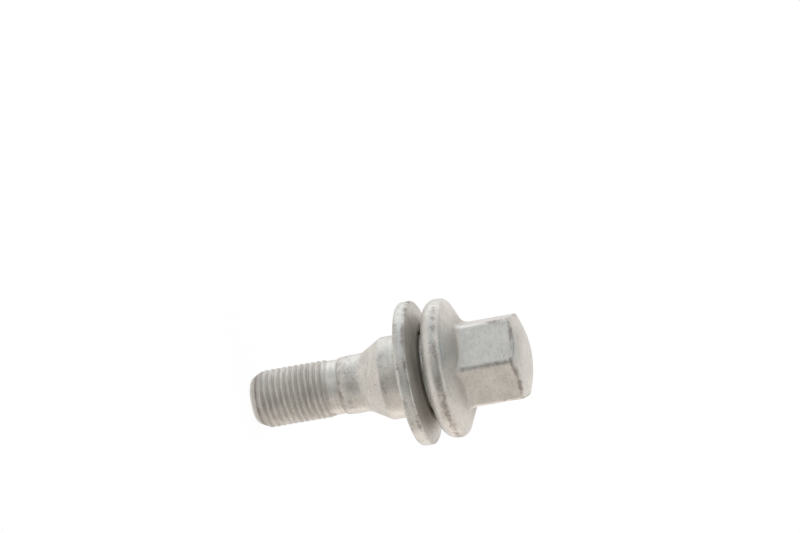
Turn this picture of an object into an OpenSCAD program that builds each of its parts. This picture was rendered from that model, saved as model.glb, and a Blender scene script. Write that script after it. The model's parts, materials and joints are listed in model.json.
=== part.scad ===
// Wheel bolt with a captive washer.
// One forging holds the hexagon head, the round flange, its boss, the groove,
// the centring collar, the flare, the shank and the threaded end. The only
// other piece is the washer, which turns freely in the groove between the boss
// and the collar.
// The bolt stands on the flat end of its thread with the head up, and the
// origin is the middle of that end. +Z runs along the bolt towards the head.

/* [Thread] */
// Diameter over the thread's crests
thread_d = 12; // [10:0.5:12]
// Length of the thread, from the end of the bolt
thread_l = 15.6; // [10:0.2:40]
// Amount that the lead-in cone takes off the thread's radius at the end
tip_drop = 1.3; // [0.4:0.05:2]
// Length of the thread's lead-in cone
tip_l = 2.6; // [0.8:0.1:4]
// Depth of the neck where the thread runs out, below the thread's crests
runout_depth = 0.35; // [0.1:0.05:0.8]
// Length of the neck where the thread runs out
runout_l = 3.4; // [2:0.1:6]

/* [Shank] */
// Diameter of the plain shank
shank_d = 12.1; // [11.8:0.05:14]
// Length of the plain shank
shank_l = 4.9; // [2:0.1:30]
// Length of the cone that widens from the shank to the collar
flare_l = 4.45; // [2:0.05:10]
// Radius of the hollow where the cone leaves the shank
flare_fillet_r = 3.1; // [0.5:0.1:4]

/* [Collar] */
// Diameter of the collar that centres the bolt in the wheel
collar_d = 17.15; // [15.5:0.05:20]
// Length of the collar, from the cone to its shoulder
collar_l = 7.2; // [4:0.1:12]
// Radius of the collar's rounded lower edge
collar_edge_r = 0.8; // [0.2:0.1:1.2]
// Amount that the taper inside the washer takes off the collar's radius
taper_drop = 0.12; // [0.05:0.01:0.2]
// Distance below the washer at which the taper starts
taper_lead = 0.1; // [0.05:0.05:1]

/* [Washer] */
// Outer diameter of the washer
washer_d = 29.8; // [26:0.1:36]
// Thickness of the washer's rim
washer_rim_t = 2.7; // [1.8:0.1:3.5]
// Height that the washer's top rises from its rim to its bore
washer_rise = 1.2; // [0.4:0.1:2]
// Radius of the rim's edge on the wheel side
washer_low_edge_r = 0.7; // [0.2:0.1:0.8]
// Radius of the rim's edge on the head side
washer_top_edge_r = 0.3; // [0.2:0.1:1]
// Thickness of the lip that rests on the collar's shoulder
lip_t = 1.6; // [1:0.05:2.1]
// Width of the countersink at the top of the washer's bore
countersink_w = 1.25; // [0.3:0.05:1.5]
// Width of the chamfer round the recess on the wheel side
recess_chamfer = 0.3; // [0.1:0.05:0.6]

/* [Fits] */
// Clearance round the neck inside the washer's bore
bore_clearance = 0.25; // [0.1:0.05:0.5]
// Clearance round the collar inside the washer's recess
recess_clearance = 0.25; // [0.1:0.05:0.6]
// Distance that the lip laps over the collar's shoulder
lip_lap = 0.3; // [0.15:0.05:0.6]
// Clearance under the washer's lip at rest
seat_clearance = 0.05; // [0.02:0.01:0.2]
// Distance that the washer can slide up before it meets the boss
washer_float = 0.6; // [0.2:0.05:3]

/* [Flange] */
// Height of the boss under the flange, which keeps the washer in its groove
boss_h = 1.35; // [0.8:0.05:3]
// Diameter of the flange
flange_d = 28.7; // [25:0.1:36]
// Radius of the flange's rim on the washer's side
rim_low_r = 2.3; // [1.5:0.1:3]
// Radius of the flange's rim on the head's side
rim_top_r = 1.6; // [0.8:0.1:2.4]
// Height of the straight band between the rim's two radii
rim_band = 0.7; // [0.2:0.1:2]
// Slope of the flange's head side, in degrees
flange_slope = 26.5; // [10:0.5:32]
// Radius of the hollow between the flange and the hexagon
hex_fillet_r = 2.2; // [0.5:0.1:2.4]
// Radius of the hollow between the boss and the flange
boss_fillet_r = 0.5; // [0.2:0.1:0.8]

/* [Head] */
// Width of the hexagon across its flats
hex_af = 16.75; // [15:0.05:19]
// Height of the hexagon, from the flange's slope at a flat to the crown
hex_h = 12.85; // [8:0.05:20]
// Amount that forging rounds off each corner of the hexagon
corner_trim = 0.2; // [0.05:0.01:0.4]
// Radius of the crown, the domed end of the head
crown_r = 21; // [18:1:60]

/* [Hidden] */
$fn = 96;
steel = [0.70, 0.69, 0.67];
washer_steel = [0.66, 0.65, 0.63];
arc_steps = 8;

thread_r = thread_d / 2;
tip_r = thread_r - tip_drop;
runout_r = thread_r - runout_depth;
shank_r = shank_d / 2;
collar_r = collar_d / 2;
washer_r = washer_d / 2;
flange_r = flange_d / 2;
flat_r = hex_af / 2;
corner_r = hex_af / sqrt(3) - corner_trim;

// Radii of the captive fit, which follow from the collar. The boss is as wide
// as the collar, and the neck between them is the groove for the washer's lip.
shoulder_r = collar_r - taper_drop;
bore_r = shoulder_r - lip_lap;
neck_r = bore_r - bore_clearance;
recess_r = collar_r + recess_clearance;
countersink_r = bore_r + countersink_w;
boss_r = collar_r;

// Stations along the axis, from the thread's end up.
runout_z = thread_l;
shank_z = runout_z + runout_l;
flare_z = shank_z + shank_l;
collar_z = flare_z + flare_l;
shoulder_z = collar_z + collar_l;
washer_lip_z = shoulder_z + seat_clearance;
washer_top_z = washer_lip_z + lip_t;
washer_face_z = washer_top_z - washer_rim_t - washer_rise;
taper_z = washer_face_z - taper_lead;
countersink_l = min(countersink_w, lip_t / 2);
countersink_z = washer_top_z - countersink_l;

// The boss comes to the washer's countersink, at the height that it has there.
met_l = countersink_l * min(1, (boss_r - bore_r) / countersink_w);
boss_z = countersink_z + met_l + washer_float;
flange_z = boss_z + boss_h;
rim_z = flange_z + rim_low_r;
rim_band_z = rim_z + rim_band;

// Where the rim's upper radius meets the slope, and where the slope would
// meet the flats of the hexagon.
slope_r = flange_r - rim_top_r + rim_top_r * sin(flange_slope);
slope_z = rim_band_z + rim_top_r * cos(flange_slope);
hex_z = slope_z + (slope_r - flat_r) * tan(flange_slope);
bolt_l = hex_z + hex_h;

// The hollow under the hexagon ends a little inside its flats, so that the
// two surfaces cross instead of only touching.
inset = 0.2;
hex_fillet_c = flat_r - inset + hex_fillet_r;
hex_fillet_z = slope_z + (slope_r - hex_fillet_c) * tan(flange_slope)
    + hex_fillet_r / cos(flange_slope);

// The flare's straight part, from the collar's edge down to the hollow.
flare_angle = atan2(collar_r - shank_r, flare_l);
flare_tangent = flare_fillet_r * tan(flare_angle / 2);
edge_tangent = collar_edge_r * tan(flare_angle / 2);

// Points of an arc about a centre, from one angle to another.
function arc(centre, r, from, to) = [
    for (i = [0:arc_steps])
        let (a = from + (to - from) * i / arc_steps)
            centre + r * [cos(a), sin(a)]
];

// Half of the bolt's section, from the thread's end to inside the hexagon.
// Each point is a radius and a height.
function bolt_section() = concat(
    [[0, 0], [tip_r, 0], [thread_r, tip_l], [thread_r, runout_z]],
    [[runout_r, runout_z + runout_depth], [runout_r, shank_z - (shank_r - runout_r)]],
    [[shank_r, shank_z]],
    arc([shank_r + flare_fillet_r, flare_z - flare_tangent], flare_fillet_r, 180, 180 - flare_angle),
    arc([collar_r - collar_edge_r, collar_z + edge_tangent], collar_edge_r, -flare_angle, 0),
    [[collar_r, taper_z], [shoulder_r, shoulder_z], [neck_r, shoulder_z]],
    [[neck_r, boss_z], [boss_r, boss_z]],
    arc([boss_r + boss_fillet_r, flange_z - boss_fillet_r], boss_fillet_r, 180, 90),
    arc([flange_r - rim_low_r, rim_z], rim_low_r, -90, 0),
    arc([flange_r - rim_top_r, rim_band_z], rim_top_r, 0, 90 - flange_slope),
    arc([hex_fillet_c, hex_fillet_z], hex_fillet_r, 270 - flange_slope, 180),
    [[0, hex_fillet_z]]
);

// Half of the washer's section: a flat wheel side, a rounded rim, a top that
// rises like a shallow cone, a countersunk bore and a recess over the collar.
function washer_section() =
    let (rise_angle = atan2(washer_rise, washer_r - washer_top_edge_r - countersink_r))
    concat(
        [[recess_r + recess_chamfer, washer_face_z]],
        arc([washer_r - washer_low_edge_r, washer_face_z + washer_low_edge_r],
            washer_low_edge_r, -90, 0),
        arc([washer_r - washer_top_edge_r, washer_face_z + washer_rim_t - washer_top_edge_r],
            washer_top_edge_r, 0, 90 - rise_angle),
        [[countersink_r, washer_top_z], [bore_r, countersink_z]],
        [[bore_r, washer_lip_z], [recess_r, washer_lip_z]],
        [[recess_r, washer_face_z + recess_chamfer]]
    );

// The hexagon, with its corners rounded by the forging and a domed crown.
module hexagon() {
    intersection() {
        translate([0, 0, rim_z])
            cylinder(h = bolt_l - rim_z + 1, r = hex_af / sqrt(3), $fn = 6);
        translate([0, 0, rim_z])
            cylinder(h = bolt_l - rim_z + 1, r = corner_r);
        translate([0, 0, bolt_l - crown_r])
            sphere(r = crown_r);
    }
}

module bolt() {
    color(steel)
        union() {
            rotate_extrude() polygon(bolt_section());
            hexagon();
        }
}

module washer() {
    color(washer_steel)
        rotate_extrude() polygon(washer_section());
}

bolt();
washer();
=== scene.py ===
# %% [markdown]
# # A wheel bolt with a captive washer
#
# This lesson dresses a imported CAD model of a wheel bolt. The CAD solids hold the true sizes and
# the motion, and the meshes made here stand in front of them with the real thread, the forged
# edges and the flake coating.
#
# The bolt stands on the flat end of its thread, at the origin, and +Z runs up to the head. All
# lengths below are in millimetres until a mesh is made, because that is how a bolt is drawn.

import json
from math import asin, atan2, cos, degrees, pi, radians, sin, tan

import bpy
import numpy as np
from mathutils import Matrix, Vector, noise
from mathutils.bvhtree import BVHTree

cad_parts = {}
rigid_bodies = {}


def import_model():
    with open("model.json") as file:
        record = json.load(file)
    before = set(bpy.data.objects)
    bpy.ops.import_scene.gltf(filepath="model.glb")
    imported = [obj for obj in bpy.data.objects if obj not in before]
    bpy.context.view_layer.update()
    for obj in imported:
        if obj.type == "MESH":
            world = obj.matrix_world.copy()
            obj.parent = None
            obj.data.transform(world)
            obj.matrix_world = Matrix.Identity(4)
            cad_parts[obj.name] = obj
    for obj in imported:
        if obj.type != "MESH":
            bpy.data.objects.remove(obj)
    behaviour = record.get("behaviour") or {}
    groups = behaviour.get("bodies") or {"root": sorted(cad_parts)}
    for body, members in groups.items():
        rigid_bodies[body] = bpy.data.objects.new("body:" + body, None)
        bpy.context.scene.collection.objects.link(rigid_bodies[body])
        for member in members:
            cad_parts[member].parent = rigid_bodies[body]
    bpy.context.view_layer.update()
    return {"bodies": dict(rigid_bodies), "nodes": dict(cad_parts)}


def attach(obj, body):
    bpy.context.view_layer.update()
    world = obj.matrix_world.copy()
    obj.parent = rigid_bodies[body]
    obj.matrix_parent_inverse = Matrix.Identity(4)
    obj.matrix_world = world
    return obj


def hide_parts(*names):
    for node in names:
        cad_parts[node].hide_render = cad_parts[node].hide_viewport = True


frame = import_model()
MM = 0.001

# %% [markdown]
# ## The sizes
#
# The CAD part has these sizes too. They are named again here, so that each curve below can be
# read without the other file, and a later cell measures how far the new meshes stray from the
# solids.

# %% Sizes from the thread's end up to the head
thread_r, thread_l, pitch = 6.0, 15.6, 1.25
tip_r, tip_l = 4.7, 2.6
runout_r, runout_l = 5.65, 3.4
shank_r, shank_l = 6.05, 4.9
flare_l, flare_fillet_r = 4.45, 3.1
collar_r, collar_l, collar_edge_r = 8.575, 7.2, 0.8
taper_drop, taper_lead = 0.12, 0.1
flange_r, rim_low_r, rim_top_r, rim_band = 14.35, 2.3, 1.6, 0.7
flange_slope = radians(26.5)
boss_h, boss_fillet_r, hex_fillet_r = 1.35, 0.5, 2.2
flat_r, hex_h, crown_r = 8.375, 12.85, 21.0

# %% Sizes of the washer and of its fit
washer_r, washer_rim_t, washer_rise = 14.9, 2.7, 1.2
washer_low_edge_r, washer_top_edge_r = 0.7, 0.3
lip_t, countersink_w, recess_chamfer = 1.6, 1.25, 0.3
bore_clearance, recess_clearance = 0.25, 0.25
lip_lap, seat_clearance, washer_float = 0.3, 0.05, 0.6

shoulder_r = collar_r - taper_drop
bore_r = shoulder_r - lip_lap
neck_r = bore_r - bore_clearance
recess_r = collar_r + recess_clearance
countersink_r = bore_r + countersink_w
countersink_l = min(countersink_w, lip_t / 2)
boss_r = collar_r
print("The washer's bore is", round(2 * bore_r, 2), "mm and its neck", round(2 * neck_r, 2), "mm")

# %% Heights that follow from the sizes
shank_z = thread_l + runout_l
flare_z = shank_z + shank_l
collar_z = flare_z + flare_l
shoulder_z = collar_z + collar_l
washer_lip_z = shoulder_z + seat_clearance
washer_top_z = washer_lip_z + lip_t
washer_face_z = washer_top_z - washer_rim_t - washer_rise
taper_z = washer_face_z - taper_lead
countersink_z = washer_top_z - countersink_l
boss_z = countersink_z + countersink_l * (boss_r - bore_r) / countersink_w + washer_float
flange_z = boss_z + boss_h
rim_z = flange_z + rim_low_r
rim_band_z = rim_z + rim_band
slope_r = flange_r - rim_top_r + rim_top_r * sin(flange_slope)
slope_z = rim_band_z + rim_top_r * cos(flange_slope)
bolt_l = slope_z + (slope_r - flat_r) * tan(flange_slope) + hex_h
print("The bolt is", round(bolt_l, 2), "mm long and its flange starts at", round(flange_z, 2), "mm")

# %% [markdown]
# ## One skin for the whole forging
#
# A bolt is one piece of steel, so it gets one closed skin: a net of rings from the thread's end
# to the middle of the crown. Cutting it from a cylinder with booleans would leave long thin
# faces that shade badly. A net keeps its faces even, and each ring can leave the circle where
# the hexagon needs it.
#
# The columns of the net stand closer together at the six corners of the hexagon, so that each
# rounded corner has enough faces.

# %% Columns round the axis, closer together at the hexagon's corners
SIXTH, HALF_SIXTH = radians(60), radians(30)
corner_round, corner_reach = 1.5, radians(4.6)
corner_arc_c = (flat_r - corner_round) / cos(HALF_SIXTH)


def sector_angles(inside, outside):
    """Angles of one sixth of the turn, from the middle of a flat to the middle of the next."""
    near = np.linspace(-corner_reach, corner_reach, inside + 1)
    far = np.linspace(corner_reach, HALF_SIXTH, outside + 1)[1:]
    return np.concatenate([-far[::-1], near, far])[:-1]


sector = sector_angles(inside=12, outside=14)
columns = np.concatenate([sector + SIXTH * k for k in range(6)])
from_corner = np.abs((columns + HALF_SIXTH) % SIXTH - HALF_SIXTH)
print(len(columns), "columns round the bolt")


# %% The hexagon's radius in each column
def hexagon_radius(turn):
    """Distance from the axis to a hexagon whose corners are rounded, by the turn from a corner."""
    flat = flat_r / np.cos(HALF_SIXTH - turn)
    inner = corner_round ** 2 - (corner_arc_c * np.sin(turn)) ** 2
    rounded = corner_arc_c * np.cos(turn) + np.sqrt(np.maximum(inner, 0))
    side = corner_round * sin(HALF_SIXTH)
    tangent = atan2(side, corner_arc_c + corner_round * cos(HALF_SIXTH))
    return np.where(turn < tangent, rounded, flat)


wall_r = hexagon_radius(from_corner)
print("The hexagon's corners reach", round(float(wall_r.max()), 2), "mm from the axis")

# %% [markdown]
# ## Rings from a section
#
# Below the hexagon the bolt is round, as if turned on a lathe. Its half section is a chain of
# straight lines and arcs, and each point of the chain becomes one ring. A straight part needs
# few rings and an arc needs more.

# %% Helpers for a half section, where each point is a radius and a height
SAME_POINT = 1e-6


def line(start, end, steps):
    """Points of a straight part, without its first point."""
    share = np.linspace(0, 1, steps + 1)[1:, None]
    return np.array(start) + share * (np.array(end) - np.array(start))


def arc(centre, r, start, end, steps):
    """Points of an arc between two angles in degrees, with both ends."""
    turn = np.radians(np.linspace(start, end, steps + 1))
    return np.array(centre) + r * np.column_stack([np.cos(turn), np.sin(turn)])


def chain(*parts):
    """Joins parts of a section, and leaves out a point that repeats the one before."""
    points = np.concatenate([np.atleast_2d(part) for part in parts])
    apart = np.linalg.norm(np.diff(points, axis=0), axis=1) > SAME_POINT
    return points[np.append(True, apart)]


# %% The thread's end, the neck and the shank
tip_edge_r, tip_cap_r, tip_cone_angle = 0.3, 1.5, 27
tip_edge_c = [tip_r - tip_edge_r, tip_edge_r]
tip_section = chain(
    line([tip_cap_r, 0], [tip_r - tip_edge_r, 0], 5),
    arc(tip_edge_c, tip_edge_r, -90, -tip_cone_angle, 4),
)

# The neck narrows a little, then a small step leads to the shank, which swells to its full size.
thread_top = thread_l + 1.15
neck_waist, neck_step, step_l, step_edge_l = 0.03, 0.02, 0.12, 0.03
swell_l, swell_r = 2.4, 16.0
swell_start = degrees(asin(swell_l / swell_r))
flare_angle = degrees(atan2(collar_r - shank_r, flare_l))
flare_tangent = flare_fillet_r * tan(radians(flare_angle / 2))
neck_and_shank = chain(
    line([runout_r, thread_top], [runout_r - neck_waist, shank_z - step_l], 8),
    [[runout_r + neck_step, shank_z - step_edge_l]],
    arc([shank_r - swell_r, shank_z + swell_l], swell_r, -swell_start, 0, 9),
    line([shank_r, shank_z + swell_l], [shank_r, flare_z - flare_tangent], 4),
)
print(len(tip_section) + len(neck_and_shank), "rings on the tip, the neck and the shank")

# %% The flare and the collar
shoulder_edge_r = 0.15
edge_tangent = collar_edge_r * tan(radians(flare_angle / 2))
flare_c = [shank_r + flare_fillet_r, flare_z - flare_tangent]
edge_c = [collar_r - collar_edge_r, collar_z + edge_tangent]
shoulder_c = [shoulder_r - shoulder_edge_r, shoulder_z - shoulder_edge_r]
flare_and_collar = chain(
    arc(flare_c, flare_fillet_r, 180, 180 - flare_angle, 8),
    arc(edge_c, collar_edge_r, -flare_angle, 0, 7),
    line([collar_r, collar_z + edge_tangent], [collar_r, taper_z], 14),
    line([collar_r, taper_z], [shoulder_r, shoulder_z - shoulder_edge_r], 5),
    arc(shoulder_c, shoulder_edge_r, 0, 90, 3),
)
print(len(flare_and_collar), "rings on the flare and the collar")

# %% The groove, the boss and the flange's rim
boss_edge_r = 0.12
boss_edge_c = [boss_r - boss_edge_r, boss_z + boss_edge_r]
boss_fillet_c = [boss_r + boss_fillet_r, flange_z - boss_fillet_r]
rim_low_c = [flange_r - rim_low_r, rim_z]
rim_top_c = [flange_r - rim_top_r, rim_band_z]
neck_and_flange = chain(
    line([shoulder_r - shoulder_edge_r, shoulder_z], [neck_r, shoulder_z], 2),
    line([neck_r, shoulder_z], [neck_r, boss_z], 5),
    line([neck_r, boss_z], [boss_r - boss_edge_r, boss_z], 2),
    arc(boss_edge_c, boss_edge_r, -90, 0, 3),
    line([boss_r, boss_z + boss_edge_r], [boss_r, flange_z - boss_fillet_r], 3),
    arc(boss_fillet_c, boss_fillet_r, 180, 90, 5),
    line([boss_r + boss_fillet_r, flange_z], [flange_r - rim_low_r, flange_z], 8),
    arc(rim_low_c, rim_low_r, -90, 0, 16),
    line([flange_r, rim_z], [flange_r, rim_band_z], 3),
    arc(rim_top_c, rim_top_r, 0, 90 - degrees(flange_slope), 12),
)
print(len(neck_and_flange), "rings on the groove, the boss and the flange's rim")

# %% [markdown]
# ## The head
#
# The head starts as a circle at the flange and ends as a hexagon, so its rings have a radius
# and a height for each column. In each column the slope, the hollow, the flat wall, the rounded
# edge and the dome touch each other smoothly, as two lines and three arcs do in a drawing. The
# hollow is tighter under the flats than under the corners, as the forging die leaves it.

# %% A smooth step and a smooth hump
def fade(value, start, end):
    """A smooth step from 0 at the start to 1 at the end."""
    share = np.clip((value - start) / (end - start), 0, 1)
    return share * share * (3 - 2 * share)


def humps(value, *parts):
    """A sum of smooth humps, each given by its height, its middle and its width."""
    return sum(height * np.exp(-((value - middle) / width) ** 2) for height, middle, width in parts)


print("A step is", fade(0.5, 0, 1), "half way, and a hump", humps(1.0, (1.0, 1.0, 0.5)), "in its middle")

# %% The head's hollow, wall, edge and dome in every column
crown_edge_r, wall_gap = 0.6, 0.05
crown_z = bolt_l - crown_r
flat_share, corner_start = 0.5, 0.2

leaves_flat = fade(wall_r, flat_r + corner_start, wall_r.max())
hollow_fillet_r = hex_fillet_r * (flat_share + (1 - flat_share) * leaves_flat)
hollow_r = wall_r + hollow_fillet_r
slope_drop = (slope_r - hollow_r) * tan(flange_slope)
hollow_z = slope_z + slope_drop + hollow_fillet_r / cos(flange_slope)
edge_r = wall_r - crown_edge_r
wall_top = crown_z + np.sqrt((crown_r - crown_edge_r) ** 2 - edge_r ** 2)
edge_lean = np.arctan2(wall_top - crown_z, edge_r)
print("The flats end", round(float(wall_top.max() - wall_top.min()), 2), "mm higher than the corners")


# %% Rings of the head, each with a radius and a height in every column
slope_rows, hollow_rows, wall_rows, edge_rows, dome_rows = 11, 12, 27, 8, 22


def head_rings():
    """Rows of radii and of heights, from the slope to the crown."""
    rings = []
    foot_r = hollow_r - hollow_fillet_r * sin(flange_slope)
    foot_z = hollow_z - hollow_fillet_r * cos(flange_slope)
    for share in np.linspace(0, 1, slope_rows)[1:-1]:
        rings.append((slope_r + share * (foot_r - slope_r), slope_z + share * (foot_z - slope_z)))
    for turn in np.linspace(1.5 * pi - flange_slope, pi, hollow_rows):
        rings.append((hollow_r + hollow_fillet_r * cos(turn), hollow_z + hollow_fillet_r * sin(turn)))
    for share in np.linspace(0, 1, wall_rows)[1:]:
        closer_to_top = 2 * share - share * share
        rings.append((wall_r, hollow_z + closer_to_top * (wall_top - wall_gap - hollow_z)))
    for turn in np.linspace(0, 1, edge_rows)[:, None] * edge_lean:
        rings.append((edge_r + crown_edge_r * np.cos(turn), wall_top + crown_edge_r * np.sin(turn)))
    for share in np.linspace(0, 1, dome_rows)[1:-1]:
        turn = edge_lean + share * (pi / 2 - edge_lean)
        rings.append((crown_r * np.cos(turn), crown_z + crown_r * np.sin(turn)))
    return rings


head = head_rings()
print(len(head), "rings in the head, up to", round(float(head[-1][1].max()), 2), "mm")

# %% [markdown]
# ## The thread
#
# The CAD solid has a plain cylinder where the thread is. The real thread is rolled: two dies
# press a helix into the blank, and the steel rises between them to form the crests. A Screw
# modifier could sweep one tooth, but its ends would hang open. Here the rings themselves climb
# by one pitch in each turn, so the crests, flanks and roots are edges of the net. At both ends
# the rings lie flat against the last circle, which closes the skin without a gap.
#
# The steel from both flanks meets in the middle of each crest and leaves a shallow seam there.
# Past the last full crest the thread fades out onto the neck in about one turn.

# %% The thread's form
crest_r, root_r = 5.95, 5.57
crest_flat, root_flat = 0.16, 0.44
ring_phases = np.array([0.0, 0.08, 0.16, 0.25, 0.34, 0.44, 0.5, 0.56, 0.66, 0.75, 0.84, 0.92])
thread_low, thread_high = 0.45, thread_top
straight_share, seam_dip, seam_w = 0.75, 0.03, 0.09
last_crest_z, runout_end_z = thread_l - 0.2, thread_l + 1.1
blend_w, blend_dip = 0.16, 0.08


def thread_surface(z, phase):
    """Radius of the rolled thread, where phase counts pitches from a crest, and its crest share."""
    from_crest = np.abs((phase + 0.5) % 1 - 0.5)
    depth = np.clip((from_crest - crest_flat) / (root_flat - crest_flat), 0, 1)
    flank = straight_share * depth + (1 - straight_share) * fade(depth, 0, 1)
    rolled = crest_r + (root_r - crest_r) * flank - seam_dip * fade(from_crest, seam_w, 0.0)
    grown = 1 - fade(z, last_crest_z, runout_end_z)
    rolled = runout_r + grown * (rolled - runout_r)
    cone = tip_r + (thread_r - tip_r) * z / tip_l
    on_thread = np.clip(0.5 + (cone - rolled) / blend_w, 0, 1)
    eased = blend_dip * on_thread * (1 - on_thread)
    return cone + (rolled - cone) * on_thread - eased, 1 - depth


print("The thread is", round(crest_r - root_r, 2), "mm deep")

# %% [markdown]
# ## Marks for the finish
#
# A forging isn't clean. Its coating wears off where edges knock against other parts, and dirt stays in
# hollows. Each vertex carries four marks for the shader: how exposed it is, how much brown it takes for
# dirt and for painted shade in creases and gaps, how much it is made pale for rubbed metal and for
# painted highlights, and how rough the forging left it. Worked out here, the marks follow the shape
# exactly, which a noise alone can't do.

# %% The marks that each vertex carries
MARK_NAMES = ("exposed", "hollow", "rubbed", "forged")
FORGED = MARK_NAMES.index("forged")


def marks_for(exposed=0.0, hollow=0.0, rubbed=0.0, forged=0.0):
    """One row of marks, or a row for each column where a value varies."""
    parts = np.broadcast_arrays(exposed, hollow, rubbed, forged)
    return np.stack([np.asarray(p, float) for p in parts], axis=-1)


print("Marks:", ", ".join(MARK_NAMES))


# %% A net of vertices and faces that grows ring by ring
class Net:
    """Vertices in millimetres, with each ring's numbers kept so that rings can be joined."""

    def __init__(self, angles):
        self.angles = angles
        self.points, self.marks, self.faces = [], [], []
        self.last = None

    def vertex(self, x, y, z, mark):
        self.points.append((x, y, z))
        self.marks.append(mark)
        return len(self.points) - 1

    def circle(self, r, z, mark):
        """Adds a ring and returns its vertex numbers. The radius and height may vary."""
        r = np.broadcast_to(r, self.angles.shape)
        z = np.broadcast_to(z, self.angles.shape)
        marks = np.broadcast_to(mark, self.angles.shape + (len(MARK_NAMES),))
        return [
            self.vertex(r[i] * cos(a), r[i] * sin(a), z[i], marks[i])
            for i, a in enumerate(self.angles)
        ]

    def join(self, low, high):
        """Faces between two rows of numbers. A repeated number makes a triangle or nothing."""
        for i in range(len(low) - 1):
            corners = [low[i], low[i + 1], high[i + 1], high[i]]
            kept = [c for n, c in enumerate(corners) if c != corners[n - 1]]
            if len(kept) > 2 and len(set(kept)) == len(kept):
                self.faces.append(kept)

    def grow(self, r, z, mark):
        """Adds a ring and joins it to the last one."""
        ring = self.circle(r, z, mark)
        if self.last:
            self.join(self.last + self.last[:1], ring + ring[:1])
        self.last = ring

    def cap(self, z, mark, upward):
        """Closes the last ring with one middle vertex."""
        middle = self.vertex(0, 0, z, mark)
        for i, here in enumerate(self.last):
            before = self.last[i - 1]
            self.faces.append([before, here, middle] if upward else [here, before, middle])


# %% Start the bolt's net at the thread's end
rubbed_band = 0.4

net = Net(columns)
net.grow(tip_cap_r, 0, marks_for())
net.cap(0, marks_for(), upward=False)
for r, z in tip_section:
    net.grow(r, z, marks_for())
thread_low_r = tip_r + (thread_r - tip_r) * thread_low / tip_l
net.grow(thread_low_r, thread_low, marks_for(rubbed=rubbed_band))
print(len(net.points), "vertices on the thread's end")

# %% [markdown]
# A used die leaves a thread that isn't perfect. Its crests rise and dip by a few hundredths of a
# millimetre, and fine lines run along it, some pale and some dark. Both come from smooth noise at each
# vertex, which is stretched along the thread, because the blank rolls between the dies. The pale lines
# keep to the crests, where they are rubbed metal and a painted highlight as well.

# %% Dents and fine lines along the thread
dent_round, dent_up, dent_depth = 3, 2, 0.04
line_round, line_up, line_shift = 2.5, 7, 30
pale_gain, pale_from, pale_most = 2.4, 0.4, 0.65
dark_gain, dark_from, dark_most = 2.5, 0.35, 0.7
dents_from_r = tip_r + 0.9


def thread_noise(z, per_radian, per_mm, shift=0):
    """Smooth noise in each column, by features in one radian and in one millimetre."""
    return np.array([
        noise.noise(Vector((per_radian * cos(a), per_radian * sin(a), per_mm * h + shift)))
        for a, h in zip(columns, z)
    ])


def pale_and_dark_lines(z, height):
    """Shares of pale lines, which keep to the crests as rubbed metal and painted highlight, and of dark
    lines.
    """
    lines = thread_noise(z, line_round, line_up, line_shift)
    crest_sheen = np.clip(pale_gain * lines - pale_from, 0, pale_most) * height
    dark = np.clip(-dark_gain * lines - dark_from, 0, dark_most)
    return crest_sheen, dark


# %% Marks of the thread
lead_line, lead_haze = (0.5, 1.4, 0.3), (0.2, 2.0, 0.7)
band_top_z = 1.2
# The darkening in the thread's roots on this line is painted shade; the other darkening is dirt.
thread_dirt, dark_line_dirt, root_painted_shade, root_narrowness = 0.2, 0.3, 0.05, 4
crest_rub_and_highlight, crest_rub_and_highlight_base, crest_rub_and_highlight_gain = 0.4, 0.2, 2.2


def thread_marks(z, phase, height, dents):
    """Dirt at the first turn, painted shade in the roots, and pale spots on the crests that are rubbed
    metal and a painted highlight.
    """
    lead = humps(z, lead_line)
    crest_sheen, dark = pale_and_dark_lines(z, height)
    # The crest's edge that faces the head is made pale: rubbed metal, and the painted highlight that
    # this edge catches.
    on_crest = crest_rub_and_highlight * (phase == crest_flat)
    crest = np.maximum(on_crest * np.clip(crest_rub_and_highlight_base + crest_rub_and_highlight_gain * dents, 0, 1), crest_sheen)
    darkening = thread_dirt + lead + humps(z, lead_haze) + dark_line_dirt * dark
    return marks_for(
        exposed=lead,
        hollow=darkening + root_painted_shade * (1 - height) ** root_narrowness,
        rubbed=np.where(z < band_top_z, rubbed_band * (1 - lead), crest),
    )


# %% Add the helical rings of the thread
low_ring = net.last
high_ring = net.circle(runout_r, thread_high, marks_for())


def thread_row(turn, phase):
    """Vertex numbers of one climbing ring, held between the two end circles."""
    z = pitch * (turn + phase + columns / (2 * pi))
    r, height = thread_surface(z, np.full_like(z, phase))
    dents = thread_noise(z, dent_round, dent_up)
    r = r + dent_depth * dents * height * (r > dents_from_r)
    marks = thread_marks(z, phase, height, dents)
    row = []
    for i, a in enumerate(columns):
        if z[i] <= thread_low:
            row.append(low_ring[i])
        elif z[i] >= thread_high:
            row.append(high_ring[i])
        else:
            row.append(net.vertex(r[i] * cos(a), r[i] * sin(a), z[i], marks[i]))
    return row


spare_turns = 3
turns = range(int(thread_low / pitch) - spare_turns, int(thread_high / pitch) + spare_turns)
rows = [thread_row(turn, phase) for turn in turns for phase in ring_phases]
one_turn = len(ring_phases)
starts = [row[0] for row in rows[one_turn:]] + [high_ring[0]] * one_turn
for low, high, low_end, high_end in zip(rows, rows[1:], starts, starts[1:]):
    net.join(low + [low_end], high + [high_end])
net.last = high_ring
print(len(net.points), "vertices up to the thread's runout")

# %% [markdown]
# Above the thread, each mark is a hump at a height up the bolt. The shank and the collar are knocked
# where a wheel's hole touches them, and the flange's rim is knocked most on one side. The small step at
# the shank's foot and the groove are darkened in brown as painted shade. The boss and the flange's
# underside are made pale where the washer rubs them, and as painted light where the flange shades them.

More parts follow.
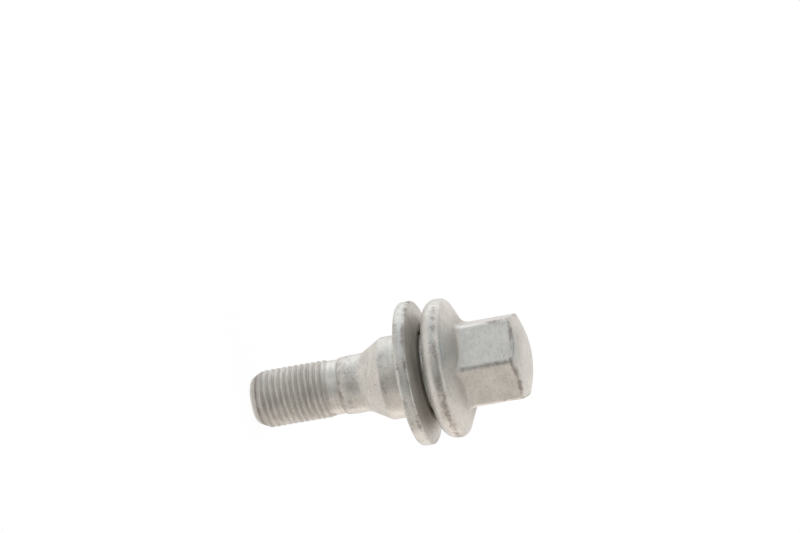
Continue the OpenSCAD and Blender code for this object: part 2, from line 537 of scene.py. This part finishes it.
# %% Add the round parts up to the flange's slope
# The small step at the shank's foot is darkened as painted shade.
step_painted_shade = (0.55, shank_z - 0.03, 0.12)
shank_knocks = ((0.45, shank_z + 0.3, 0.5), (0.48, shank_z + 2.2, 1.8))
collar_knocks = ((0.45, collar_z + 0.5, 0.6), (0.22, collar_z + 2, 1.5))
rim_knocks = (0.85, rim_band_z, 0.95)
rim_depth, knocked_side, side_share = 1.2, radians(-30), 0.3
# The boss and the flange's underside are made pale: rubbed by the washer, and painted light where the
# flange shades them.
boss_rub_and_light, rub_and_light_from_z, rub_and_light_to_z = 0.95, flange_z + 0.4, flange_z + 1.6
# The groove between the washer and the flange is darkened as painted shade.
groove_painted_shade, groove_top_z = 0.4, boss_z + 0.01
shank_forged, collar_forged, flange_forged, flange_from_r = 0.15, 0.3, 0.5, neck_r + 3

for r, z in neck_and_shank[1:]:
    knocks = humps(z, *shank_knocks)
    net.grow(r, z, marks_for(exposed=knocks, hollow=humps(z, step_painted_shade), forged=shank_forged))
for r, z in flare_and_collar[1:]:
    net.grow(r, z, marks_for(exposed=humps(z, *collar_knocks), forged=collar_forged))
by_side = 1 - side_share + side_share * np.cos(columns - knocked_side)
for r, z in neck_and_flange[1:]:
    rim = humps(z, rim_knocks) * (r > flange_r - rim_depth) * by_side
    darkening = groove_painted_shade * float(z < groove_top_z)
    rub_and_light = boss_rub_and_light * (boss_z < z) * (1 - fade(z, rub_and_light_from_z, rub_and_light_to_z))
    rough = flange_forged * (r > flange_from_r)
    net.grow(r, z, marks_for(exposed=rim, hollow=darkening, rubbed=rub_and_light, forged=rough))
print(len(net.points), "vertices up to the flange's slope")

# %% Add the head
corner_wear, corner_w = 0.9, 0.75
wear_from_z, wear_to_z = slope_z + 2, slope_z + 10
edge_wear, edge_above, edge_w = 1.2, 0.1, 0.42
dome_wear, dome_from, dome_to = 0.17, 0.3, 0.9
foot_rub, foot_from_z, foot_to_z, foot_low_z = 0.3, slope_z + 4, slope_z + 8, slope_z + 2
# The hollow at the hexagon's foot is darkened as painted shade.
foot_painted_shade = (0.3, slope_z + 2, 0.8)
head_forged, wall_reach, edge_reach = 0.8, 0.3, 1

corner = humps(from_corner * wall_r, (1, 0, corner_w))
for r, z in head:
    on_wall = fade(z, wear_from_z, wear_to_z) * (r > wall_r - wall_reach)
    on_edge = humps(z - wall_top, (edge_wear, edge_above, edge_w)) * (r > wall_r - edge_reach)
    on_dome = dome_wear * fade(z - wall_top, dome_from, dome_to)
    exposed = np.maximum(corner_wear * corner * on_wall, on_edge) + on_dome
    at_foot = (1 - fade(z, foot_from_z, foot_to_z)) * (z > foot_low_z)
    rubbed = foot_rub * corner * at_foot
    net.grow(r, z, marks_for(exposed, humps(z, foot_painted_shade), rubbed, forged=head_forged))
net.cap(bolt_l, marks_for(), upward=True)
print(len(net.points), "vertices and", len(net.faces), "faces in the bolt's net")

# %% [markdown]
# ## From a net to a piece
#
# The piece is made in metres. A little unevenness is added along the normals, because a forged
# face is never quite flat, and a highlight that wanders shows it. The amount is a few hundredths
# of a millimetre, so the sizes stay true.

# %% Turn a net into a mesh object
wide_waves, near_waves = (0.07, 0.28), (0.03, 0.9)
near_shift = Vector((7, 3, 5))
sharp_angle = radians(38)


def unevenness(point):
    """Height in millimetres that forging leaves at a point, a few hundredths up or down."""
    (wide_height, wide_scale), (near_height, near_scale) = wide_waves, near_waves
    wide = noise.noise(Vector(point) * wide_scale)
    near = noise.noise(Vector(point) * near_scale + near_shift)
    return wide_height * wide + near_height * near


def make_piece(name, net):
    """A smooth-shaded object in metres, with the net's marks stored on its vertices."""
    mesh = bpy.data.meshes.new(name)
    mesh.from_pydata([[c * MM for c in p] for p in net.points], [], net.faces)
    mesh.validate()
    mesh.shade_smooth()
    mesh.set_sharp_from_angle(angle=sharp_angle)
    marks = np.array(net.marks, dtype=np.float32)
    for k, mark_name in enumerate(MARK_NAMES):
        stored = mesh.attributes.new(mark_name, "FLOAT", "POINT")
        stored.data.foreach_set("value", marks[:, k])
    for vertex, normal, mark, point in zip(mesh.vertices, mesh.vertex_normals, marks, net.points):
        if mark[FORGED] > 0:
            vertex.co += normal.vector * (mark[FORGED] * unevenness(point) * MM)
    piece = bpy.data.objects.new(name, mesh)
    bpy.context.scene.collection.objects.link(piece)
    triangles = sum(len(p.vertices) - 2 for p in mesh.polygons)
    print(name, "has", triangles, "triangles")
    return piece


bolt = make_piece("bolt_forging", net)

# %% [markdown]
# ## The washer
#
# The washer is turned from bar and held for good between the collar and the flange. Its wheel
# side is flat, its head side rises like a shallow cone, and a recess lets it pass over the
# collar. It is a ring, so the last ring of its net is joined back to the first.

# %% The washer's section
rise_angle = degrees(atan2(washer_rise, washer_r - washer_top_edge_r - countersink_r))
worn_edge_r = 2 * washer_top_edge_r
rim_top_z = washer_face_z + washer_rim_t - worn_edge_r
cone_start_r = washer_r - worn_edge_r + worn_edge_r * sin(radians(rise_angle))
cone_start_z = rim_top_z + worn_edge_r * cos(radians(rise_angle))
low_edge_c = [washer_r - washer_low_edge_r, washer_face_z + washer_low_edge_r]
chamfer_r = recess_r + recess_chamfer
washer_section = chain(
    line([recess_r, washer_lip_z], [recess_r, washer_face_z + recess_chamfer], 4),
    [[chamfer_r, washer_face_z]],
    line([chamfer_r, washer_face_z], [washer_r - washer_low_edge_r, washer_face_z], 7),
    arc(low_edge_c, washer_low_edge_r, -90, 0, 7),
    line([washer_r, washer_face_z + washer_low_edge_r], [washer_r, rim_top_z], 6),
    arc([washer_r - worn_edge_r, rim_top_z], worn_edge_r, 0, 90 - rise_angle, 8),
    line([cone_start_r, cone_start_z], [countersink_r, washer_top_z], 22),
    line([countersink_r, washer_top_z], [bore_r, countersink_z], 4),
    line([bore_r, countersink_z], [bore_r, washer_lip_z], 3),
    line([bore_r, washer_lip_z], [recess_r, washer_lip_z], 2),
)
print(len(washer_section), "rings in the washer")

# %% The washer's net, with knocks on its rim, a painted sheen on the rim band, and painted shade on its face near the bore
rim_edge_knocks = ((0.85, rim_top_z + 0.2, 0.45), (0.45, washer_face_z + 0.7, 0.9))
# The rim's band is made pale as a painted sheen.
rim_painted_sheen = (0.35, washer_face_z + 1.2, 0.9)
rim_w, face_from_z = 1, rim_top_z + 0.5
# The face under the flange is darkened as painted shade, most near the bore where the gap lies.
face_painted_shade, painted_shade_start_r, painted_shade_full_r = 0.12, countersink_r + 0.8, countersink_r + 0.4
washer_forged, forged_from_r = 0.25, recess_r + 1

washer_columns = 216
washer_net = Net(np.linspace(0, 2 * pi, washer_columns + 1)[:-1])
for r, z in washer_section:
    on_rim = r > washer_r - rim_w
    near_bore = fade(r, painted_shade_start_r, painted_shade_full_r)
    darkening = float((face_painted_shade + (1 - face_painted_shade) * near_bore) * (z > face_from_z))
    washer_net.grow(r, z, marks_for(
        exposed=humps(z, *rim_edge_knocks) * on_rim,
        hollow=darkening,
        rubbed=humps(z, rim_painted_sheen) * on_rim,
        forged=washer_forged * (r > forged_from_r),
    ))
first = list(range(len(washer_net.angles)))
washer_net.join(washer_net.last + washer_net.last[:1], first + first[:1])
washer = make_piece("washer_ring", washer_net)

# %% [markdown]
# ## How true are the new meshes?
#
# The render must not show a shape that the solids lack. So each new vertex is measured against
# the CAD mesh. The thread's roots are the one place where a real difference is wanted.

# %% Measure each new mesh against the CAD solid behind it
def strays(piece, node):
    """Distances in mm from a piece's vertices to the CAD node's surface."""
    solid = frame["nodes"][node]
    corners = [solid.matrix_world @ v.co for v in solid.data.vertices]
    tree = BVHTree.FromPolygons(corners, [list(p.vertices) for p in solid.data.polygons])
    return np.array([tree.find_nearest(v.co)[3] for v in piece.data.vertices]) / MM


for piece, node in ((bolt, "bolt"), (washer, "washer")):
    away = strays(piece, node)
    mean, most = round(float(away.mean()), 3), round(float(away.max()), 3)
    print(piece.name, "strays by", mean, "mm and at most", most)

# %% [markdown]
# ## Shader maths as Python
#
# A node tree is a set of sums on sockets. The class below wraps one socket, so that a sum in
# Python adds its own Math nodes, and any other node comes from one method.

# %% A wrapped socket
class Wire:
    """One output socket of a material, on which Python's operators work."""

    def __init__(self, socket):
        self.socket = socket

    def node(self, kind, settings, inputs, output=0):
        """Adds a node of a type, sets it up, plugs its inputs and returns one output."""
        tree = self.socket.id_data
        new = tree.nodes.new(kind)
        for name, value in settings.items():
            setattr(new, name, value)
        for name, value in inputs.items():
            if isinstance(value, Wire):
                tree.links.new(value.socket, new.inputs[name])
            else:
                new.inputs[name].default_value = value
        return Wire(new.outputs[output])

    def math(self, operation, first, second, clamp=False):
        settings = {"operation": operation, "use_clamp": clamp}
        return self.node("ShaderNodeMath", settings, {0: first, 1: second})

    def __add__(self, other):
        return self.math("ADD", self, other)

    def __radd__(self, other):
        return self.math("ADD", other, self)

    def __sub__(self, other):
        return self.math("SUBTRACT", self, other)

    def __rsub__(self, other):
        return self.math("SUBTRACT", other, self)

    def __mul__(self, other):
        return self.math("MULTIPLY", self, other)

    def __rmul__(self, other):
        return self.math("MULTIPLY", other, self)

    def clamped(self):
        return self.math("ADD", self, 0.0, clamp=True)

    def step(self, low, high):
        """A smooth step from 0 at low to 1 at high."""
        settings = {"interpolation_type": "SMOOTHSTEP"}
        inputs = {"Value": self, "From Min": low, "From Max": high}
        return self.node("ShaderNodeMapRange", settings, inputs)

    def blend(self, first, second):
        """A colour between two, where this value is the share of the second."""
        settings = {"data_type": "RGBA"}
        return self.node("ShaderNodeMix", settings, {0: self, 6: first, 7: second}, output=2)

    def vector(self, operation, output="Vector", **inputs):
        """Vector Math on this vector, with a second vector as by or a number as scale."""
        sockets = {"by": 1, "scale": "Scale"}
        plugs = {sockets[name]: value for name, value in inputs.items()}
        return self.node("ShaderNodeVectorMath", {"operation": operation}, {0: self, **plugs}, output)

    def grain(self, scale, detail=2.0, roughness=0.5):
        """Noise on this vector, with the scale in features per millimetre."""
        inputs = {"Vector": self, "Scale": scale, "Detail": detail, "Roughness": roughness}
        return self.node("ShaderNodeTexNoise", {}, inputs)


# %% Helpers that start a material and fill its shader's sockets
def start_material(name):
    """A new material, its Principled shader and its surface point in millimetres."""
    made = bpy.data.materials.new(name)
    made.use_nodes = True
    tree = made.node_tree
    shader = tree.nodes["Principled BSDF"]
    coordinates = Wire(tree.nodes.new("ShaderNodeTexCoord").outputs["Object"])
    return made, shader, coordinates.vector("SCALE", scale=1 / MM)


def plug(shader, **values):
    """Sets or links the shader's sockets, which are named here with underscores."""
    for name, value in values.items():
        socket = shader.inputs[name.replace("_", " ")]
        if isinstance(value, Wire):
            shader.id_data.links.new(value.socket, socket)
        else:
            socket.default_value = value


# %% [markdown]
# ## The flake coating
#
# These bolts are dipped in a paint of zinc and aluminium flakes and baked. The coat is matte
# and silver-grey, and its flakes lie at slight angles, so it scatters light far more than a
# polished metal does. It covers unevenly: it clouds over wide areas, has tiny pits, follows the
# fine turned lines below it, and lets dark steel through on worn edges. One function makes the
# finish for both pieces, because both are dipped alike, and only the amounts differ.
#
# The turned lines need a noise that runs round the axis. Its vector is made of the distance from
# the axis and the height, with only a little of the true point, so each line is long but ends.
#
# A noise keeps close to its middle, so most are stretched by a smooth step between two limits.
# In each sum below, the number before a pattern is that pattern's share.

# %% The coat's patterns, with scales in features per millimetre, and their limits
CLOUDS = {"scale": 0.22, "detail": 3}
MOTTLE = {"scale": 1.1, "detail": 3, "roughness": 0.6}
STREAKS = {"scale": 2.2, "detail": 3, "roughness": 0.6}
FINE_GRAIN = {"scale": 3.6, "detail": 3, "roughness": 0.65}
PATCHES = {"scale": 0.3, "detail": 2}
SPECK_GROUPS = {"scale": 0.35, "detail": 2}
SPECKS = {"scale": 2.4, "detail": 2, "roughness": 0.6}
SPREAD, TINT_LIMITS, RUB_LIMITS = (0.3, 0.7), (0.1, 0.9), (0.44, 0.60)
PATCH_LIMITS, GROUP_LIMITS, SPECK_LIMITS = (0.38, 0.62), (0.42, 0.66), (0.60, 0.72)
WEAR_LIMITS = (0.15, 0.95)
print("The finest grain has", FINE_GRAIN["scale"], "features in a millimetre")

# %% What the finish reads from the mesh and from the axis
streak_drift = 0.12


def stored_marks(at):
    """The marks that the mesh carries, one value each."""
    return [
        at.node("ShaderNodeAttribute", {"attribute_name": mark}, {}, output="Fac")
        for mark in MARK_NAMES
    ]


def round_the_axis(at, moved):
    """A vector that changes along the bolt, and only slowly round it."""
    from_axis = at.vector("MULTIPLY", by=(1, 1, 0)).vector("LENGTH", output="Value")
    height_up = at.node("ShaderNodeSeparateXYZ", {}, {0: at}, output="Z")
    turned = at.node("ShaderNodeCombineXYZ", {}, {"X": from_axis, "Z": height_up})
    return turned.vector("ADD", by=moved.vector("SCALE", scale=streak_drift))


# %% Where dark steel shows: worn edges and specks
def dark_spots(moved, exposed, mottle, streaks, fine, wear, speck):
    """The share of bare steel, which is ragged on exposed edges and specked in groups."""
    patches = moved.grain(**PATCHES).step(*PATCH_LIMITS)
    ragged = exposed * (0.35 + 0.65 * patches) + 0.55 * (mottle - 0.5) + 0.3 * (streaks - 0.5)
    worn = (ragged + 1.5 * (fine - 0.5)).step(*WEAR_LIMITS) * wear
    groups = moved.grain(**SPECK_GROUPS).step(*GROUP_LIMITS)
    specks = moved.grain(**SPECKS).step(*SPECK_LIMITS) * groups * speck
    return (worn + specks).clamped()


# %% The finish of both pieces
bare_steel, brown_dirt_and_shade = (0.245, 0.19, 0.17, 1), (0.33, 0.28, 0.24, 1)
rub_and_sheen_pale = (0.92, 0.91, 0.88, 1)
darkest, palest = 0.83, 1.15
dirt_and_shade_cover, pale_cover, bare_cover = 0.9, 0.6, 0.8
streaks_lost_when_forged = 0.75
relief_strength, relief_mm = 0.5, 0.05


def flake_coat(name, coat, metal, wear, speck, seed):
    """A matte metal coat with clouds, streaks, specks, pits and worn edges."""
    made, shader, at = start_material(name)
    moved = at.vector("ADD", by=seed)
    exposed, hollow, rubbed, forged = stored_marks(at)

    clouds = moved.grain(**CLOUDS).step(*SPREAD)
    mottle = moved.grain(**MOTTLE).step(*SPREAD)
    fine = moved.grain(**FINE_GRAIN)
    streaks = round_the_axis(at, moved).grain(**STREAKS).step(*SPREAD) - 0.5
    streaks = streaks * (1 - streaks_lost_when_forged * forged) + 0.5
    spots = dark_spots(moved, exposed, mottle, streaks, fine, wear, speck)

    shade = 0.28 * clouds + 0.30 * mottle + 0.42 * streaks + (1.1 - 0.6 * forged) * (fine - 0.5)
    dark_coat, pale_coat = [c * darkest for c in coat] + [1], [c * palest for c in coat] + [1]
    tint = shade.step(*TINT_LIMITS).blend(dark_coat, pale_coat)
    # Brown stands for dirt, and for painted shade in the groove, the thread's roots, the shank's step,
    # the hexagon's foot and the washer's face.
    dirt_and_shade_amount = (hollow * (0.85 + 0.3 * mottle)).clamped()
    tint = (dirt_and_shade_amount * dirt_and_shade_cover).blend(tint, brown_dirt_and_shade)
    # Pale stands for rubbed metal, and for painted highlights on the thread's crests, the boss, the
    # flange's underside and the washer's rim.
    bright = rubbed * (0.3 + 0.7 * fine.step(*RUB_LIMITS))
    tint = (pale_cover * bright).blend(tint, rub_and_sheen_pale)

    height = 0.9 * fine + 0.25 * mottle + 0.3 * streaks - 0.3 * spots
    relief = {"Strength": relief_strength, "Distance": relief_mm * MM, "Height": height}
    plug(
        shader,
        Base_Color=(spots * bare_cover).blend(tint, bare_steel),
        Metallic=metal - 0.5 * dirt_and_shade_amount - 0.35 * bright,
        Roughness=0.38 + 0.08 * mottle + 0.1 * spots - 0.12 * bright + 0.25 * dirt_and_shade_amount,
        Normal=at.node("ShaderNodeBump", {}, relief),
    )
    return made


# %% Coat both pieces
bolt_steel = flake_coat(
    "bolt_flake_coat", coat=(0.696, 0.648, 0.595), metal=0.72, wear=0.85, speck=0.7, seed=(17, 2, 9)
)
washer_steel = flake_coat(
    "washer_flake_coat", coat=(0.675, 0.636, 0.585), metal=0.70, wear=0.95, speck=1.0, seed=(31, 7, 19)
)
bolt.data.materials.append(bolt_steel)
washer.data.materials.append(washer_steel)
print("Finishes:", bolt_steel.name, washer_steel.name)

# %% Tell the frame what each piece stands for
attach(bolt, "bolt")
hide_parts("bolt")
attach(washer, "washer")
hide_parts("washer")
print("The meshes ride on", ", ".join(frame["bodies"]))

# %% [markdown]
# ## The camera
#
# The photograph looks along the bolt from the head's side, a little above square, with the bolt
# lying nearly level in the picture. The bolt stands upright here, so the camera is rolled on its
# side instead. Its place follows from where the middle of the crown sits in the picture.

# %% The camera's directions
VIEW_DOWN = radians(12.24)
VIEW_ROLL = radians(10.22)
VIEW_TURN = radians(-63)

toward = Vector((cos(VIEW_TURN), sin(VIEW_TURN), 0))
across = Vector((-sin(VIEW_TURN), cos(VIEW_TURN), 0))
up_bolt = Vector((0, 0, 1))
forward = -cos(VIEW_DOWN) * toward - sin(VIEW_DOWN) * up_bolt
along = -sin(VIEW_DOWN) * toward + cos(VIEW_DOWN) * up_bolt
right = cos(VIEW_ROLL) * along + sin(VIEW_ROLL) * across
down = -sin(VIEW_ROLL) * along + cos(VIEW_ROLL) * across
print("The camera looks along", [round(c, 2) for c in forward])

# %% Place the camera
FOCAL_PIXELS, PIXELS_PER_MM = 3000, 4.923
CROWN_AT, PICTURE = (530.3, 353.8), (800, 533)
SENSOR_MM = 36

lens = bpy.data.cameras.new("camera")
lens.sensor_width = SENSOR_MM
lens.lens = SENSOR_MM * FOCAL_PIXELS / PICTURE[0]
lens.clip_start, lens.clip_end = 0.01, 20
camera = bpy.data.objects.new("camera", lens)
bpy.context.scene.collection.objects.link(camera)
depth = FOCAL_PIXELS / PIXELS_PER_MM
offset_right = (CROWN_AT[0] - PICTURE[0] / 2) / FOCAL_PIXELS * depth
offset_down = (CROWN_AT[1] - PICTURE[1] / 2) / FOCAL_PIXELS * depth
crown = Vector((0, 0, bolt_l))
camera.location = (crown - offset_right * right - offset_down * down - depth * forward) * MM
camera.rotation_mode = "QUATERNION"
camera.rotation_quaternion = Matrix((right, -down, -forward)).transposed().to_quaternion()
bpy.context.scene.camera = camera
print("The camera is", round(depth), "mm from the crown")

# %% [markdown]
# ## Floor, backdrop and light
#
# The photograph was taken in a tent of white cloth, with a darker opening for the camera. Here
# the world is the tent: it is white where the camera, a gloss or a glass looks at it, and a
# plain soft light for the rest. The floor glows in the same way, and keeps a part of the bolt's
# shadow. The floor, the lamps and the boards are sized in metres, as Blender has them.

# %% The world
tent_light, WHITE = (0.80, 0.80, 0.80, 1), (1, 1, 1, 1)


def seen_directly(tree):
    """1 where a camera, gloss or transmission ray looks, and 0 for diffuse light."""
    rays = tree.nodes.new("ShaderNodeLightPath")
    seen = Wire(rays.outputs["Is Camera Ray"]) + Wire(rays.outputs["Is Glossy Ray"])
    return (seen + Wire(rays.outputs["Is Transmission Ray"])).clamped()


world = bpy.data.worlds.new("tent")
world.use_nodes = True
bpy.context.scene.world = world
sky = world.node_tree.nodes["Background"]
tent = seen_directly(world.node_tree).blend(tent_light, WHITE)
world.node_tree.links.new(tent.socket, sky.inputs["Color"])
print("The world's light is", tent_light[0])

# %% The floor
floor_half = 3.0
glow_part, glow_strength = 0.85, 1.08
floor_corners = [(x * floor_half, y * floor_half, 0) for x, y in ((-1, -1), (1, -1), (1, 1), (-1, 1))]

floor_mesh = bpy.data.meshes.new("floor")
floor_mesh.from_pydata(floor_corners, [], [(0, 1, 2, 3)])
floor = bpy.data.objects.new("floor", floor_mesh)
bpy.context.scene.collection.objects.link(floor)
floor.visible_glossy = False
floor_paper = bpy.data.materials.new("floor_paper")
floor_paper.use_nodes = True
paper_nodes = floor_paper.node_tree
paper = paper_nodes.nodes["Principled BSDF"]
plug(paper, Base_Color=(0.82, 0.82, 0.81, 1), Roughness=0.9)
glow_share = glow_part * seen_directly(paper_nodes)
glow = glow_share.node("ShaderNodeEmission", {}, {"Color": WHITE, "Strength": glow_strength})
shaders = {0: glow_share, 1: Wire(paper.outputs[0]), 2: glow}
mixed = glow_share.node("ShaderNodeMixShader", {}, shaders)
paper_nodes.links.new(mixed.socket, paper_nodes.nodes["Material Output"].inputs["Surface"])
floor.data.materials.append(floor_paper)
print("Floor of", 2 * floor_half, "m")

# %% [markdown]
# A matte metal shows mostly what stands round it. Four round boards with soft edges do that work.
# The camera doesn't see them, and they cast no shadow. A dark grey card stands for the opening of
# the tent, and a smaller, bluer one hangs over the head. A cream board warms the side that faces
# down in the picture, and a thin blue one cools the side that faces up. Three weak lamps add the
# cool, the warm and the rear light that the cloth lets through.

# %% Lamps that face the middle of the bolt
lamp_distance = 0.5


def facing_bolt(direction, distance):
    """A place at a distance from the bolt's middle, and the turn that faces it."""
    middle = Vector((0, 0, bolt_l / 2 * MM))
    place = middle + direction.normalized() * distance
    return place, (place - middle).to_track_quat("Z", "Y")


def soft_lamp(name, direction, size, radiance, colour):
    """A square lamp, given by the brightness of its surface, as a lit cloth would be."""
    light = bpy.data.lights.new(name, "AREA")
    light.shape = "SQUARE"
    light.size = size
    light.energy = pi * size * size * radiance
    light.color = colour
    lamp = bpy.data.objects.new(name, light)
    bpy.context.scene.collection.objects.link(lamp)
    lamp.location, turn = facing_bolt(direction, lamp_distance)
    lamp.rotation_mode = "QUATERNION"
    lamp.rotation_quaternion = turn


soft_lamp("lamp_cool_side", -across - 0.4 * toward, size=0.5, radiance=0.74, colour=(0.74, 0.89, 1.0))
soft_lamp("lamp_warm_side", across - 0.55 * toward, size=0.4, radiance=0.6, colour=(1.0, 0.9, 0.78))
soft_lamp("lamp_behind_head", 0.5 * up_bolt - toward, size=0.4, radiance=0.1, colour=(1.0, 0.92, 0.82))

# %% Boards that the camera doesn't see
board_sides = 48


def soft_board(name, direction, distance, r, solid_r, opacity, colour):
    """A round board that fades out between its solid radius and its edge."""
    mesh = bpy.data.meshes.new(name)
    rim = [(r * cos(a), r * sin(a), 0) for a in np.linspace(0, 2 * pi, board_sides + 1)[:-1]]
    mesh.from_pydata(rim, [], [range(len(rim))])
    board = bpy.data.objects.new(name, mesh)
    bpy.context.scene.collection.objects.link(board)
    board.location, turn = facing_bolt(direction, distance)
    board.rotation_mode = "QUATERNION"
    board.rotation_quaternion = turn
    board.visible_camera = board.visible_shadow = False
    made, paint, on_board = start_material(name)
    from_centre = on_board.vector("LENGTH", output="Value")
    alpha = opacity - opacity * from_centre.step(solid_r / MM, r / MM)
    plug(paint, Base_Color=colour, Roughness=0.9, Alpha=alpha)
    mesh.materials.append(made)
    return board


to_camera = toward * cos(VIEW_DOWN) + up_bolt * sin(VIEW_DOWN)
card = soft_board(
    "grey_card", to_camera + 0.12 * across, distance=0.72, r=0.66, solid_r=0.30,
    opacity=1, colour=(0.095, 0.135, 0.135, 1),
)
cream_board = soft_board(
    "cream_board", 0.35 * toward + across, distance=0.70, r=0.60, solid_r=0.20,
    opacity=0.6, colour=(0.89, 0.81, 0.72, 1),
)
cool_board = soft_board(
    "cool_board", 0.6 * toward - across, distance=0.70, r=0.60, solid_r=0.30,
    opacity=0.2, colour=(0.0, 0.60, 1.0, 1),
)
top_card = soft_board(
    "top_card", up_bolt - 0.12 * toward - 0.22 * across, distance=0.70, r=0.42, solid_r=0.14,
    opacity=1, colour=(0.0, 0.19, 0.27, 1),
)
bpy.context.scene.view_settings.view_transform = "Standard"
print("Boards:", card.name, cream_board.name, cool_board.name, top_card.name)
